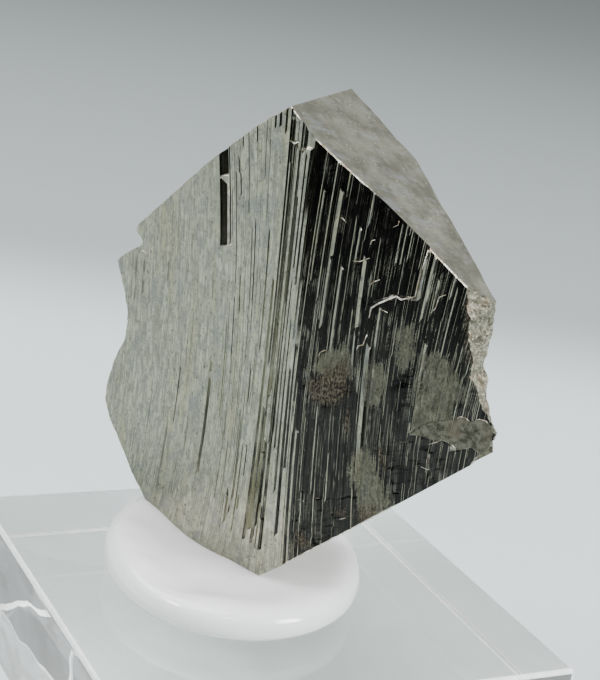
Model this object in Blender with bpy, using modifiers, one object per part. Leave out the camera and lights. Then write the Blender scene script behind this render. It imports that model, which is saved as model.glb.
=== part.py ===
# A thick arsenopyrite crystal stood on its lower corner in a mound of white putty,
# on a clear square acrylic block. Metres, +Z up, origin at the centre of the block's underside.
import math
import random

import bmesh
import bpy
from mathutils import Euler, Matrix, Vector, noise

MM = 0.001
GAP = 0.3 * MM  # air left between two pieces that touch

# Display block: 32 mm (1 1/4 inch) square cut from 9.5 mm (3/8 inch) sheet
BLOCK_SIDE = 32.0 * MM
BLOCK_HEIGHT = 9.5 * MM
BLOCK_ARRIS = 0.25 * MM

# Putty: an oval pat, highest in a ring and dipping where the crystal was pushed in
PUTTY_CENTRE = (-2.25 * MM, 0.55 * MM)
PUTTY_HALF_LENGTH = 10.9 * MM
PUTTY_HALF_WIDTH = 8.95 * MM
PUTTY_TURN = math.radians(67.6)
PUTTY_HEIGHT = 4.2 * MM
PUTTY_WAIST = 1.2 * MM
PUTTY_DIP = 2.2 * MM
PUTTY_SIDES = 56

# Crystal frame: x across the striations, y away from the front, z up the striations,
# origin at the top of the ridge between the two front faces
CRYSTAL_PLACE = Vector((-3.97, -5.14, 42.39)) * MM
CRYSTAL_TILT = Euler((math.radians(3.31), math.radians(-3.43), math.radians(-54.73)))
LEFT_SLOPE = math.tan(math.radians(16.63))
RIGHT_SLOPE = math.tan(math.radians(15.43))
PRISM_ANGLE = math.radians(39.0)
UPPER_LEFT_CORNER = (-7.54 * MM, -2.79 * MM)
UPPER_LEFT_ANGLES = (math.radians(37.2), math.radians(41.7))
LOWER_RIGHT_OFFSET = 22.53 * MM
FOOT_LEVEL = BLOCK_HEIGHT + 1.1 * MM
LEFT_FOOT_CORNER = Vector((-17.0, 2.0, -27.1)) * MM
SLAB_LEFT = -19.5 * MM
SLAB_RIGHT = 12.9 * MM
SLAB_TOP = 3.4 * MM
SLAB_BOTTOM = -34.5 * MM
BACK_DEPTH = 9.0 * MM
BACK_LEFT_BEND = -6.0 * MM
BACK_LEFT_SLOPE = 0.14
BACK_RIGHT_BEND = 3.0 * MM
BACK_RIGHT_SLOPE = 0.52
EDGE_THICKNESS = 0.5 * MM

# Striations: each ledge has a position across the face at mid height, a width and a rise.
# A positive rise falls back towards the right, a negative one comes forward.
# They fan: a ledge leans by one angle high on the face and by another low on it.
MID_HEIGHT = -14.5 * MM
LEAN_SPAN = 21.0 * MM
LEAN_KEYS = (
    (-19.0, 0.0, 5.0),
    (-12.0, -3.0, 10.0),
    (-8.0, -6.0, 8.5),
    (-5.0, -5.0, 6.0),
    (-2.6, 2.0, 5.3),
    (0.0, 5.0, 0.5),
    (4.0, 5.6, -2.5),
    (7.5, 9.0, -2.0),
    (9.5, 14.0, 0.0),
    (13.0, 15.0, 2.0),
)
NARROWEST = 0.07 * MM
MAIN_LEDGES = (
    (-12.6, 0.30, 0.20),
    (-9.6, 0.35, 0.24),
    (-6.95, 0.52, 0.34),
    (-6.35, 0.12, -0.30),
    (-2.2, 0.18, 0.16),
    (-1.0, 0.22, 0.22),
    (0.5, 0.16, -0.18),
    (1.5, 0.30, -0.26),
    (2.2, 0.16, 0.20),
    (3.8, 0.40, -0.36),
    (5.2, 0.18, 0.24),
    (6.3, 0.22, -0.26),
    (8.0, 0.25, -0.22),
)
FINE_LEFT = (-18.2, -3.0, 1.02)
FINE_RIDGE = (-2.6, 1.2, 0.62)
FINE_RIGHT = (1.9, 11.6, 1.05)
BREAK_LEVELS = (-2.6, -5.4, -8.7, -11.3, -13.9, -16.9, -19.4, -22.3, -25.4)
BREAK_HALF = 0.16 * MM
ROW_PITCH = 3.1 * MM

# Broken edges, as (across, height, depth) points of the crystal frame in millimetres
LEFT_BREAK = (
    (-13.4, -7.9),
    (-15.4, -9.8),
    (-14.8, -10.4),
    (-15.4, -11.2),
    (-17.2, -12.3),
    (-16.4, -14.4),
    (-16.7, -17.2),
    (-17.3, -20.1),
    (-18.2, -22.2),
    (-18.2, -23.8),
    (-16.1, -26.5),
    (-14.3, -29.0),
    (-12.0, -31.2),
    (-9.0, -33.6),
)
RIGHT_BREAK_FRONT = (
    (9.2, -6.9, 2.5),
    (9.8, -8.3, 2.7),
    (10.1, -10.3, 2.8),
    (10.6, -13.2, 2.9),
    (11.3, -15.1, 3.1),
    (12.1, -16.7, 3.3),
    (12.4, -17.6, 3.4),
    (11.9, -19.0, 3.3),
    (11.2, -20.3, 3.2),
)
RIGHT_BREAK_BACK = (
    (11.4, -7.6, 4.6),
    (11.4, -9.0, 4.6),
    (11.2, -10.6, 4.7),
    (10.9, -13.6, 4.8),
    (11.2, -15.3, 4.7),
    (11.8, -16.9, 4.4),
    (12.3, -17.7, 4.1),
    (11.9, -19.0, 4.0),
    (11.3, -20.3, 4.0),
)
BREAK_ROUGHNESS = 0.28 * MM

# Places where a layer of the right front face is missing: the depth of the floor at the
# left and right end, then the outline as (across, height), all in millimetres
RECESSES = {
    "upper_layer": (0.05, 0.42, (
        (3.4, -2.2),
        (3.2, -6.2),
        (3.9, -10.3),
        (5.0, -9.7),
        (5.9, -9.3),
        (6.9, -9.4),
        (7.6, -5.6),
    )),
    "lower_layer": (0.30, 0.30, (
        (6.9, -16.1),
        (7.4, -18.3),
        (8.5, -18.2),
        (9.4, -18.5),
        (10.0, -18.9),
        (10.6, -18.8),
        (11.1, -18.5),
        (12.6, -19.3),
        (7.0, -24.5),
        (6.2, -19.5),
    )),
    "pocket": (0.04, 0.34, (
        (1.0, -18.2),
        (2.9, -18.1),
        (3.5, -19.3),
        (4.0, -21.4),
        (4.5, -23.2),
        (3.2, -23.6),
        (0.9, -23.9),
    )),
    "apex_layer": (0.05, 0.30, (
        (-1.6, 0.9),
        (-1.7, -0.3),
        (-0.9, -1.0),
        (0.2, -0.7),
        (0.1, 0.9),
    )),
}
# Behind, the left break is a plain bow: its furthest reach, the height of that, and its curve
LEFT_BREAK_BOW = (-17.6, -19.0, 0.045)


def fresh_collection(name):
    collection = bpy.data.collections.new(name)
    bpy.context.scene.collection.children.link(collection)
    return collection


def finish_material(name, colour, roughness, metallic=0.0, transmission=0.0, ior=1.5):
    material = bpy.data.materials.new(name)
    material.use_nodes = True
    shader = material.node_tree.nodes["Principled BSDF"]
    shader.inputs["Base Color"].default_value = (*colour, 1.0)
    shader.inputs["Roughness"].default_value = roughness
    shader.inputs["Metallic"].default_value = metallic
    shader.inputs["Transmission Weight"].default_value = transmission
    shader.inputs["IOR"].default_value = ior
    material.diffuse_color = (*colour, 1.0)
    return material


def object_from(bm, name, collection, material=None):
    mesh = bpy.data.meshes.new(name)
    bm.to_mesh(mesh)
    bm.free()
    made = bpy.data.objects.new(name, mesh)
    collection.objects.link(made)
    if material is not None:
        mesh.materials.append(material)
    return made


def subtract(target, cutter):
    cut = target.modifiers.new(cutter.name, "BOOLEAN")
    cut.operation = "DIFFERENCE"
    cut.solver = "EXACT"
    cut.object = cutter
    cutter.hide_render = True
    cutter.display_type = "WIRE"


def crystal_matrix():
    return Matrix.Translation(CRYSTAL_PLACE) @ CRYSTAL_TILT.to_matrix().to_4x4()


def spaced(first, last, pitch):
    count = int((last - first) / pitch)
    return [first + index * pitch for index in range(count + 1)]


def make_ledges(chance):
    """Every ledge as (across, width, rise, jogs), in metres, sorted across the face."""
    ledges = [list(entry) for entry in MAIN_LEDGES]
    for first, last, pitch in (FINE_LEFT, FINE_RIDGE, FINE_RIGHT):
        sign = 1.0
        for across in spaced(first, last, pitch):
            across += chance.uniform(-0.3, 0.3) * pitch
            if min(abs(across - entry[0]) for entry in ledges) < 0.4:
                continue
            sign = -sign
            ledges.append([across, chance.uniform(0.10, 0.2), sign * chance.uniform(0.08, 0.17)])
    ledges.sort()
    made = []
    for across, width, rise in ledges:
        jogs = [chance.uniform(-0.42, 0.42) if chance.random() < 0.28 else 0.0 for _ in BREAK_LEVELS]
        made.append((across * MM, width * MM, rise * MM, [jog * MM for jog in jogs]))
    return made


def leaned(across, height):
    """Where a striation that crosses mid height at `across` lies at another height."""
    high, low = LEAN_KEYS[-1][1:]
    for (start, *start_leans), (end, *end_leans) in zip(LEAN_KEYS, LEAN_KEYS[1:]):
        if across < end * MM:
            share = max(0.0, (across / MM - start) / (end - start))
            high = start_leans[0] + (end_leans[0] - start_leans[0]) * share
            low = start_leans[1] + (end_leans[1] - start_leans[1]) * share
            break
    reach = height - MID_HEIGHT
    lean = math.radians(high + low) / 2.0
    bend = math.radians(high - low) / LEAN_SPAN
    return across + lean * reach + bend * reach * reach / 2.0


def ledge_place(ledge, height):
    across, _, _, jogs = ledge
    place = leaned(across, height)
    for level, jog in zip(BREAK_LEVELS, jogs):
        if height < level * MM:
            place += jog
    return place


def row_heights():
    rows = spaced(SLAB_BOTTOM, SLAB_TOP, ROW_PITCH) + [SLAB_TOP]
    levels = [level * MM for level in BREAK_LEVELS]
    rows = [row for row in rows if min(abs(row - level) for level in levels) > 3.0 * BREAK_HALF]
    for level in levels:
        rows += [level - BREAK_HALF, level + BREAK_HALF]
    return sorted(rows)


def row_columns(ledges, height):
    """Both edges of every ledge along one row, between the slab's two ends."""
    across = [SLAB_LEFT]
    for ledge in ledges:
        middle = ledge_place(ledge, height)
        for edge in (middle - ledge[1] / 2.0, middle + ledge[1] / 2.0):
            across.append(max(edge, across[-1] + NARROWEST))
    across.append(max(SLAB_RIGHT, across[-1] + NARROWEST))
    return across


def front_plane(across):
    if across < 0.0:
        return -LEFT_SLOPE * across
    return RIGHT_SLOPE * across


def back_plane(across):
    depth = BACK_DEPTH
    depth -= max(0.0, across - BACK_RIGHT_BEND) * BACK_RIGHT_SLOPE
    depth -= max(0.0, BACK_LEFT_BEND - across) * BACK_LEFT_SLOPE
    return depth


def row_relief(ledges, across, share=1.0):
    """Height of the stepped face over its plane at each column of a row."""
    relief = [0.0]
    for ledge in ledges:
        relief.append(relief[-1])
        relief.append(relief[-1] + ledge[2] * share)
    relief.append(relief[-1])
    ridge = min(range(len(across)), key=lambda index: abs(across[index]))
    left_drift = (relief[0] - relief[ridge]) / across[0]
    right_drift = (relief[-1] - relief[ridge]) / across[-1]
    levelled = []
    for place, value in zip(across, relief):
        drift = left_drift if place < 0.0 else right_drift
        levelled.append(value - relief[ridge] - drift * place)
    return levelled


def striated_slab(ledges):
    """A slab whose front and back are stepped by the ledges."""
    heights = row_heights()
    column_count = 2 * len(ledges) + 2
    bm = bmesh.new()
    bmesh.ops.create_grid(bm, x_segments=column_count - 1, y_segments=len(heights) - 1, size=0.5)
    bm.verts.ensure_lookup_table()
    order = sorted(bm.verts, key=lambda v: (round(v.co.y, 5), v.co.x))
    copied = bmesh.ops.extrude_face_region(bm, geom=bm.faces[:], use_keep_orig=True)
    twins = {}
    for vert in copied["geom"]:
        if isinstance(vert, bmesh.types.BMVert):
            twins[(round(vert.co.x, 5), round(vert.co.y, 5))] = vert
    spots = [(round(v.co.x, 5), round(v.co.y, 5)) for v in order]
    for row, height in enumerate(heights):
        across = row_columns(ledges, height)
        front = row_relief(ledges, across)
        back = row_relief(ledges, across, -0.8)
        for column, place in enumerate(across):
            index = row * column_count + column
            near = front_plane(place) + front[column]
            far = max(back_plane(place) + back[column], near + EDGE_THICKNESS)
            order[index].co = Vector((place, near, height))
            twins[spots[index]].co = Vector((place, far, height))
    bmesh.ops.recalc_face_normals(bm, faces=bm.faces[:])
    return bm


def cut_flat(bm, point, normal):
    """Cuts away what lies on the normal's side of a plane and closes the cut."""
    geometry = bm.verts[:] + bm.edges[:] + bm.faces[:]
    cut = bmesh.ops.bisect_plane(
        bm, geom=geometry, dist=1e-7, plane_co=point, plane_no=normal, clear_outer=True)
    rim = [item for item in cut["geom_cut"] if isinstance(item, bmesh.types.BMEdge)]
    bmesh.ops.holes_fill(bm, edges=rim, sides=0)


def prism_faces(grow=0.0):
    """The flat prism faces and the foot, as points and outward normals of the crystal frame."""
    side = math.sin(PRISM_ANGLE)
    rise = math.cos(PRISM_ANGLE)
    upper_right = Vector((side, 0.0, rise))
    corner = Vector((UPPER_LEFT_CORNER[0], 0.0, UPPER_LEFT_CORNER[1]))
    upper_left = [Vector((-math.sin(angle), 0.0, math.cos(angle))) for angle in UPPER_LEFT_ANGLES]
    lower_right = Vector((side, 0.0, -rise))
    down = crystal_matrix().to_3x3().inverted() @ Vector((0.0, 0.0, -1.0))
    foot = crystal_matrix().inverted() @ Vector((0.0, 0.0, FOOT_LEVEL))
    return (
        (upper_right * grow, upper_right),
        (corner + upper_left[0] * grow, upper_left[0]),
        (corner + upper_left[1] * grow, upper_left[1]),
        (lower_right * (LOWER_RIGHT_OFFSET + grow), lower_right),
        (foot + down * grow, down),
    )


def break_cutter(name, near_edge, far_edge, outward, collection):
    """A block with one torn side, which runs from a near edge to a far edge of the crystal."""
    steps = 3 * (len(near_edge) - 1)
    layers = 7
    bm = bmesh.new()
    bmesh.ops.create_grid(bm, x_segments=steps, y_segments=layers, size=0.5)
    torn = bm.faces[:]
    for vert in bm.verts:
        along = (vert.co.x + 0.5) * (len(near_edge) - 1)
        first = min(int(along + 1e-6), len(near_edge) - 2)
        through = (vert.co.y + 0.5) * 1.6 - 0.3
        near = near_edge[first].lerp(near_edge[first + 1], along - first)
        far = far_edge[first].lerp(far_edge[first + 1], along - first)
        place = near.lerp(far, through)
        place.x += BREAK_ROUGHNESS * noise.noise(place / MM * 0.75) * 2.0
        vert.co = place
    pulled = bmesh.ops.extrude_face_region(bm, geom=torn, use_keep_orig=True)
    for item in pulled["geom"]:
        if isinstance(item, bmesh.types.BMVert):
            item.co.x = outward
    bmesh.ops.recalc_face_normals(bm, faces=bm.faces[:])
    bm.transform(crystal_matrix())
    return object_from(bm, name, collection)


def left_break_cutter(collection):
    near = [Vector((x, 2.0, z)) * MM for x, z in LEFT_BREAK]
    reach, middle, curve = LEFT_BREAK_BOW
    far = [Vector((reach + curve * (z - middle) ** 2, 10.5, z + 0.4)) * MM for _, z in LEFT_BREAK]
    return break_cutter("left_break", near, far, -30.0 * MM, collection)


def right_break_cutter(collection):
    near = [Vector((x, y, z)) * MM for x, z, y in RIGHT_BREAK_FRONT]
    far = [Vector((x, y, z)) * MM for x, z, y in RIGHT_BREAK_BACK]
    return break_cutter("right_break", near, far, 24.0 * MM, collection)


def recess_cutter(name, recess, collection):
    """A prism whose far end lies parallel to the right front face, or nearly so."""
    left_depth, right_depth, outline = recess
    left = min(across for across, _ in outline)
    right = max(across for across, _ in outline)
    bm = bmesh.new()
    corners = [bm.verts.new(Vector((across, -4.0, height)) * MM) for across, height in outline]
    near_end = bm.faces.new(corners)
    pushed = bmesh.ops.extrude_face_region(bm, geom=[near_end], use_keep_orig=True)
    for item in pushed["geom"]:
        if isinstance(item, bmesh.types.BMVert):
            share = (item.co.x / MM - left) / (right - left)
            floor = left_depth + (right_depth - left_depth) * share
            item.co.y = RIGHT_SLOPE * item.co.x + floor * MM
    bmesh.ops.triangulate(bm, faces=bm.faces[:])
    bmesh.ops.recalc_face_normals(bm, faces=bm.faces[:])
    bm.transform(crystal_matrix())
    return object_from(bm, name, collection)


def make_crystal(collection, cutters):
    bm = striated_slab(make_ledges(random.Random(14)))
    for point, normal in prism_faces():
        cut_flat(bm, point, normal)
    bm.transform(crystal_matrix())
    steel_grey = finish_material("arsenopyrite", (0.30, 0.30, 0.27), 0.32, metallic=1.0)
    crystal = object_from(bm, "arsenopyrite_crystal", collection, steel_grey)
    subtract(crystal, left_break_cutter(cutters))
    subtract(crystal, right_break_cutter(cutters))
    for name, recess in RECESSES.items():
        subtract(crystal, recess_cutter(name, recess, cutters))
    return crystal


def pocket_cutter(collection):
    """The crystal's foot without its ledges, grown by the gap, which is pressed into the putty."""
    bm = bmesh.new()
    bmesh.ops.create_cube(bm, size=80.0 * MM)
    grow = GAP * 1.2
    left_front = Vector((-LEFT_SLOPE, -1.0, 0.0)).normalized()
    right_front = Vector((RIGHT_SLOPE, -1.0, 0.0)).normalized()
    relief = 0.35 * MM
    faces = list(prism_faces(grow))
    faces.append((left_front * (grow + relief), left_front))
    faces.append((right_front * (grow + relief), right_front))
    faces.append((Vector((0.0, BACK_DEPTH + relief + grow, 0.0)), Vector((0.0, 1.0, 0.0))))
    lower_left = Vector((-1.0, 0.143, -1.0)).normalized()
    faces.append((LEFT_FOOT_CORNER, lower_left))
    for point, normal in faces:
        cut_flat(bm, point, normal)
    bm.transform(crystal_matrix())
    return object_from(bm, "foot_pocket", collection)


def make_putty(collection, cutters):
    bm = bmesh.new()
    bmesh.ops.create_uvsphere(bm, u_segments=PUTTY_SIDES, v_segments=16, radius=1.0)
    low = BLOCK_HEIGHT + GAP
    for vert in bm.verts:
        out = math.hypot(vert.co.x, vert.co.y)
        reach = out ** 0.75
        level = abs(vert.co.z) ** 0.8
        rise = level * (PUTTY_HEIGHT - PUTTY_WAIST) if vert.co.z > 0.0 else -level * PUTTY_WAIST
        dip = PUTTY_DIP * (1.0 - reach ** 3) * max(0.0, vert.co.z)
        scale = reach / out if out > 1e-6 else 0.0
        vert.co.x *= scale * PUTTY_HALF_LENGTH
        vert.co.y *= scale * PUTTY_HALF_WIDTH
        vert.co.z = low + PUTTY_WAIST + rise - dip
    bm.transform(Matrix.Rotation(PUTTY_TURN, 4, "Z"))
    bm.transform(Matrix.Translation((*PUTTY_CENTRE, 0.0)))
    white = finish_material("putty", (0.78, 0.80, 0.79), 0.22)
    putty = object_from(bm, "mounting_putty", collection, white)
    putty.data.shade_smooth()
    subtract(putty, pocket_cutter(cutters))
    return putty


def make_block(collection):
    bm = bmesh.new()
    bmesh.ops.create_cube(bm, size=1.0)
    bm.transform(Matrix.Diagonal((BLOCK_SIDE, BLOCK_SIDE, BLOCK_HEIGHT, 1.0)))
    bm.transform(Matrix.Translation((0.0, 0.0, BLOCK_HEIGHT / 2.0)))
    clear = finish_material("clear_acrylic", (0.95, 0.97, 0.97), 0.04, transmission=1.0, ior=1.49)
    block = object_from(bm, "acrylic_block", collection, clear)
    arris = block.modifiers.new("arris", "BEVEL")
    arris.width = BLOCK_ARRIS
    arris.segments = 2
    return block


def build():
    for old in list(bpy.data.objects):
        bpy.data.objects.remove(old, do_unlink=True)
    specimen = fresh_collection("arsenopyrite_specimen")
    cutters = fresh_collection("cutters")
    make_block(specimen)
    make_putty(specimen, cutters)
    make_crystal(specimen, cutters)


build()
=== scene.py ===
import math
import random

import bmesh
import bpy
import numpy as np
from mathutils import Euler, Matrix, Vector, noise


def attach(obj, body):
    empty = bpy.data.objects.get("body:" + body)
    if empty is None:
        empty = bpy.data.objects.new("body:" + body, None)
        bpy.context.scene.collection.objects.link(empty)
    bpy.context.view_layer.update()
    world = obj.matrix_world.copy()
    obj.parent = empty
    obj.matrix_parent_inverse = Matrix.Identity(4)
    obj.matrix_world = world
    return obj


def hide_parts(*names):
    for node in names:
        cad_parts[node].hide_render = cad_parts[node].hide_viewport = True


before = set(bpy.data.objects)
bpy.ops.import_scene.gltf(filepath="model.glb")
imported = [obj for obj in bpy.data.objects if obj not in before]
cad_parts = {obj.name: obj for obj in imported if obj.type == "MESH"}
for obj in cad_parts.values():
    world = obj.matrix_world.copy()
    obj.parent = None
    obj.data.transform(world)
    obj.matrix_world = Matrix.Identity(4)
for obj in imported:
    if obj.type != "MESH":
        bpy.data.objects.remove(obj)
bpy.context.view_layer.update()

mm = 0.001


# Shader sockets that can be used in plain arithmetic
class Wire:
    def __init__(self, paint, socket):
        self.paint = paint
        self.socket = socket

    def calculate(self, operation, *others, clamp=False):
        settings = {"operation": operation, "use_clamp": clamp}
        return self.paint.add("ShaderNodeMath", settings, dict(enumerate(others)))

    def __add__(self, other):
        return self.calculate("ADD", self, other)

    def __radd__(self, other):
        return self.calculate("ADD", other, self)

    def __sub__(self, other):
        return self.calculate("SUBTRACT", self, other)

    def __rsub__(self, other):
        return self.calculate("SUBTRACT", other, self)

    def __mul__(self, other):
        return self.calculate("MULTIPLY", self, other)

    def __rmul__(self, other):
        return self.calculate("MULTIPLY", other, self)

    def clipped(self):
        return self.calculate("ADD", self, 0.0, clamp=True)

    # 0 below low, 1 above high, smooth in between
    def between(self, low, high):
        settings = {"interpolation_type": "SMOOTHSTEP", "clamp": True}
        values = {"Value": self, "From Min": low, "From Max": high}
        return self.paint.add("ShaderNodeMapRange", settings, values)


# One material: a Principled shader and a short way to add nodes
class Paint:
    def __init__(self, name, **constants):
        self.material = bpy.data.materials.new(name)
        self.material.use_nodes = True
        self.tree = self.material.node_tree
        self.shader = self.tree.nodes["Principled BSDF"]
        for socket, value in constants.items():
            self.shader.inputs[socket.replace("_", " ")].default_value = value

    def add(self, kind, settings=None, values=None, out=0):
        node = self.tree.nodes.new(kind)
        for key, value in (settings or {}).items():
            setattr(node, key, value)
        for key, value in (values or {}).items():
            socket = node.inputs[key]
            if isinstance(value, Wire):
                self.tree.links.new(value.socket, socket)
            else:
                socket.default_value = value
        return Wire(self, node.outputs[out])

    def feed(self, **wires):
        for socket, wire in wires.items():
            self.tree.links.new(wire.socket, self.shader.inputs[socket.replace("_", " ")])
        return self.material

    def place(self, turn=(0.0, 0.0, 0.0), scale=(1.0, 1.0, 1.0)):
        spot = self.add("ShaderNodeTexCoord", out="Object")
        return self.add("ShaderNodeMapping", None, {"Vector": spot, "Rotation": turn, "Scale": scale})

    # Coordinates along the striations: x across them, y up them, in millimetres
    def striae(self, scale=(1.0, 1.0, 1.0)):
        spot = self.add("ShaderNodeUVMap", {"uv_map": "striae"})
        return self.add("ShaderNodeMapping", None, {"Vector": spot, "Scale": scale})

    def noise(self, where, detail=3.0, roughness=0.55, distortion=0.0):
        values = {"Vector": where, "Scale": 1.0, "Detail": detail}
        values.update({"Roughness": roughness, "Distortion": distortion})
        return self.add("ShaderNodeTexNoise", None, values)

    # Even noise, with this many grains to the metre
    def speckle(self, perMetre, detail=3.0, roughness=0.55):
        return self.noise(self.place(scale=(perMetre, perMetre, perMetre)), detail, roughness)

    # One coordinate of a place: 0, 1 and 2 for x, y and z
    def along(self, where, axis):
        return self.add("ShaderNodeSeparateXYZ", None, {"Vector": where}, out=axis)

    def attribute(self, name):
        return self.add("ShaderNodeAttribute", {"attribute_name": name}, out="Fac")

    def mix(self, share, first, second):
        first = first if isinstance(first, Wire) else (*first, 1.0)
        second = second if isinstance(second, Wire) else (*second, 1.0)
        return self.add("ShaderNodeMix", {"data_type": "RGBA"}, {0: share, 6: first, 7: second}, out=2)

    def bump(self, height, strength, depth):
        return self.add("ShaderNodeBump", None, {"Height": height, "Strength": strength, "Distance": depth})


def addToScene(made):
    bpy.context.scene.collection.objects.link(made)
    return made


def finishedObject(bm, name, paints):
    mesh = bpy.data.meshes.new(name)
    bm.to_mesh(mesh)
    bm.free()
    for paint in paints:
        mesh.materials.append(paint)
    return addToScene(bpy.data.objects.new(name, mesh))


# The mesh that an object shows, with its modifiers or its bevel applied
def shownMesh(made):
    return bpy.data.meshes.new_from_object(made.evaluated_get(bpy.context.evaluated_depsgraph_get()))


def everything(bm):
    return bm.verts[:] + bm.edges[:] + bm.faces[:]


# Faces with many corners go wrong in the cuts and the export
def splitWideFaces(bm):
    bmesh.ops.triangulate(bm, faces=[face for face in bm.faces if len(face.verts) > 4])


def turnOutwards(bm):
    bmesh.ops.recalc_face_normals(bm, faces=bm.faces[:])


# Camera, at the viewing angle of the reference picture
camera = {
    "place": Vector((-50.08, -92.57, 61.59)) * mm,
    "right": Vector((0.891, -0.4312, 0.1422)),
    "up": Vector((0.0144, 0.3399, 0.9404)),
    "back": Vector((-0.4538, -0.8358, 0.309)),
    "lens": 87.3,
    "sensor": 36.0,
    "clip": (0.005, 20.0),
}


def makeCamera(look):
    data = bpy.data.cameras.new("camera")
    data.lens = look["lens"]
    data.sensor_width = look["sensor"]
    data.clip_start, data.clip_end = look["clip"]
    made = bpy.data.objects.new("camera", data)
    turn = Matrix((look["right"], look["up"], look["back"])).transposed()
    made.matrix_world = Matrix.Translation(look["place"]) @ turn.to_quaternion().to_matrix().to_4x4()
    bpy.context.scene.camera = addToScene(made)


makeCamera(camera)
print("camera placed")


# The crystal in its own frame: x across the striations, y away from the front, z up them,
# in millimetres, with its origin at the top of the ridge between the two front faces
crystal = {
    "place": Vector((-3.97, -5.14, 42.39)) * mm,
    "tilt": Euler((math.radians(3.31), math.radians(-3.43), math.radians(-54.73))),
    "leftSlope": math.tan(math.radians(16.63)),
    "rightSlope": math.tan(math.radians(15.43)),
    "upperLeft": ((-8.8, -3.53, 41.6), (-8.8, -3.53, 37.7), (-4.21, 0.0, 32.0)),  # across, height, angle
    "upperRight": ((0.0, 0.15, 38.0), (3.5, -2.5, 41.0)),
    "upperFall": 0.02,  # how the upper right face drops to the back
    "lowerRightAngle": math.radians(39.0),
    "lowerRightOffset": 22.53,
    "footLevel": 10.6,  # above the table, inside the putty
    "left": -19.5,
    "right": 12.9,
    "top": 3.2,
    "bottom": -34.5,
    "rows": 215,
    "backDepth": 9.0,
    "backBends": (-6.0, 3.0),
    "backSlopes": (0.14, 0.52),
    "backGrid": (70, 40),
    "thinnest": 0.5,
    "seed": 5,
    "prismSlot": 1,
    "wornSlot": 3,
    "pinchRounds": 4,  # of closing edges that more than two faces share
}

# How far the striations lean to the right at the top, in degrees: where they cross
# mid height, the lean high on the face, and the lean low on it
fan = {
    "middle": -14.5,
    "span": 21.0,
    "across": (-19.0, -12.0, -8.0, -5.0, -2.6, 0.0, 4.0, 7.5, 9.5, 13.0),
    "high": (0.0, -3.0, -6.0, -5.0, 2.0, 5.0, 5.6, 9.0, 14.0, 15.0),
    "low": (5.0, 10.0, 8.5, 6.0, 5.3, 0.5, -2.5, -2.0, 0.0, 2.0),
}


def leanShift(across, height):
    high = np.radians(np.interp(across, fan["across"], fan["high"]))
    low = np.radians(np.interp(across, fan["across"], fan["low"]))
    reach = height - fan["middle"]
    return (high + low) / 2.0 * reach + (high - low) / fan["span"] * reach * reach / 2.0


# Where the striation through a point crosses mid height
def laneOf(across, height):
    lane = np.array(across, dtype=float)
    for _ in range(12):
        lane = across - leanShift(lane, height)
    return lane


# Lanes that show as single lines. A lane: where it crosses mid height, and its stretches
# as (top, foot, width). On the left face they are strips that fall back to the right, which the
# facing mask gives the painted shade; on the right face strips that come forward, which keep the
# lit colour. A few drift sideways on the way down.
leftLanes = (
    (-15.65, ((-10.5, -11.2, 0.12), (-11.5, -14.9, 0.13))),
    (-14.83, ((-11.8, -14.1, 0.14),)),
    (-12.38, ((-11.2, -12.5, 0.10),)),
    (-10.35, ((-18.4, -22.6, 0.12),)),
    (-10.95, ((-22.6, -28.2, 0.12),)),
    (-9.10, ((-21.3, -23.9, 0.08),)),
    (-9.56, ((-23.9, -28.0, 0.08),)),
    (-7.62, ((-17.0, -17.6, 0.20), (-18.3, -25.4, 0.22))),
    (-7.24, ((3.0, -3.92, 0.80), (-4.48, -8.62, 0.60))),
    (-3.27, ((0.8, 0.0, 0.10), (-6.7, -14.7, 0.08))),
    (-3.03, ((1.6, 0.2, 0.13),)),
    (-2.72, ((1.8, -0.1, 0.12), (-9.8, -28.5, 0.12))),
    (-1.42, ((0.3, -0.95, 0.22), (-4.0, -20.0, 0.08))),
    (-1.13, ((-1.2, -8.4, 0.09), (-9.6, -21.0, 0.06))),
    (-0.84, ((0.4, -0.7, 0.15), (-1.5, -9.5, 0.10), (-12.0, -24.0, 0.07))),
    (-0.50, ((-2.2, -13.0, 0.09), (-15.3, -27.0, 0.11))),
    (-0.22, ((-6.0, -12.0, 0.07), (-13.5, -22.0, 0.09))),
)
rightLanes = (
    (0.21, ((-3.3, -9.0, 0.09), (-16.0, -19.3, 0.07))),
    (0.42, ((-19.3, -28.9, 0.15),)),
    (1.18, ((-3.2, -7.5, 0.30), (-7.5, -11.9, 0.18))),
    (1.60, ((-1.7, -3.3, 0.09), (-17.3, -23.3, 0.09))),
    (1.98, ((-8.0, -14.0, 0.15),)),
    (2.50, ((-20.6, -23.8, 0.08),)),
    (2.75, ((-5.4, -7.3, 0.10),)),
    (3.20, ((-2.9, -5.0, 0.09),)),
    (3.42, ((-7.3, -11.6, 0.27), (-12.2, -15.0, 0.12))),
    (3.85, ((-8.2, -10.4, 0.08),)),
    (4.22, ((-12.9, -22.0, 0.30),)),
    (4.66, ((-10.4, -19.5, 0.15),)),
    (5.05, ((-4.9, -7.25, 0.07),)),
    (5.32, ((-4.9, -7.2, 0.07),)),
    (6.72, ((-5.9, -9.3, 0.15),)),
    (7.00, ((-6.3, -10.6, 0.15),)),
    (7.62, ((-8.1, -10.1, 0.09), (-12.3, -18.0, 0.16))),
    (8.37, ((-7.6, -8.9, 0.09),)),
    (8.62, ((-8.5, -13.0, 0.09),)),
    (10.20, ((-14.2, -18.3, 0.08),)),
)
laneDrifts = {-10.35: -0.02, -7.62: -0.01, 3.42: 0.02, 7.00: -0.02}

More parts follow.
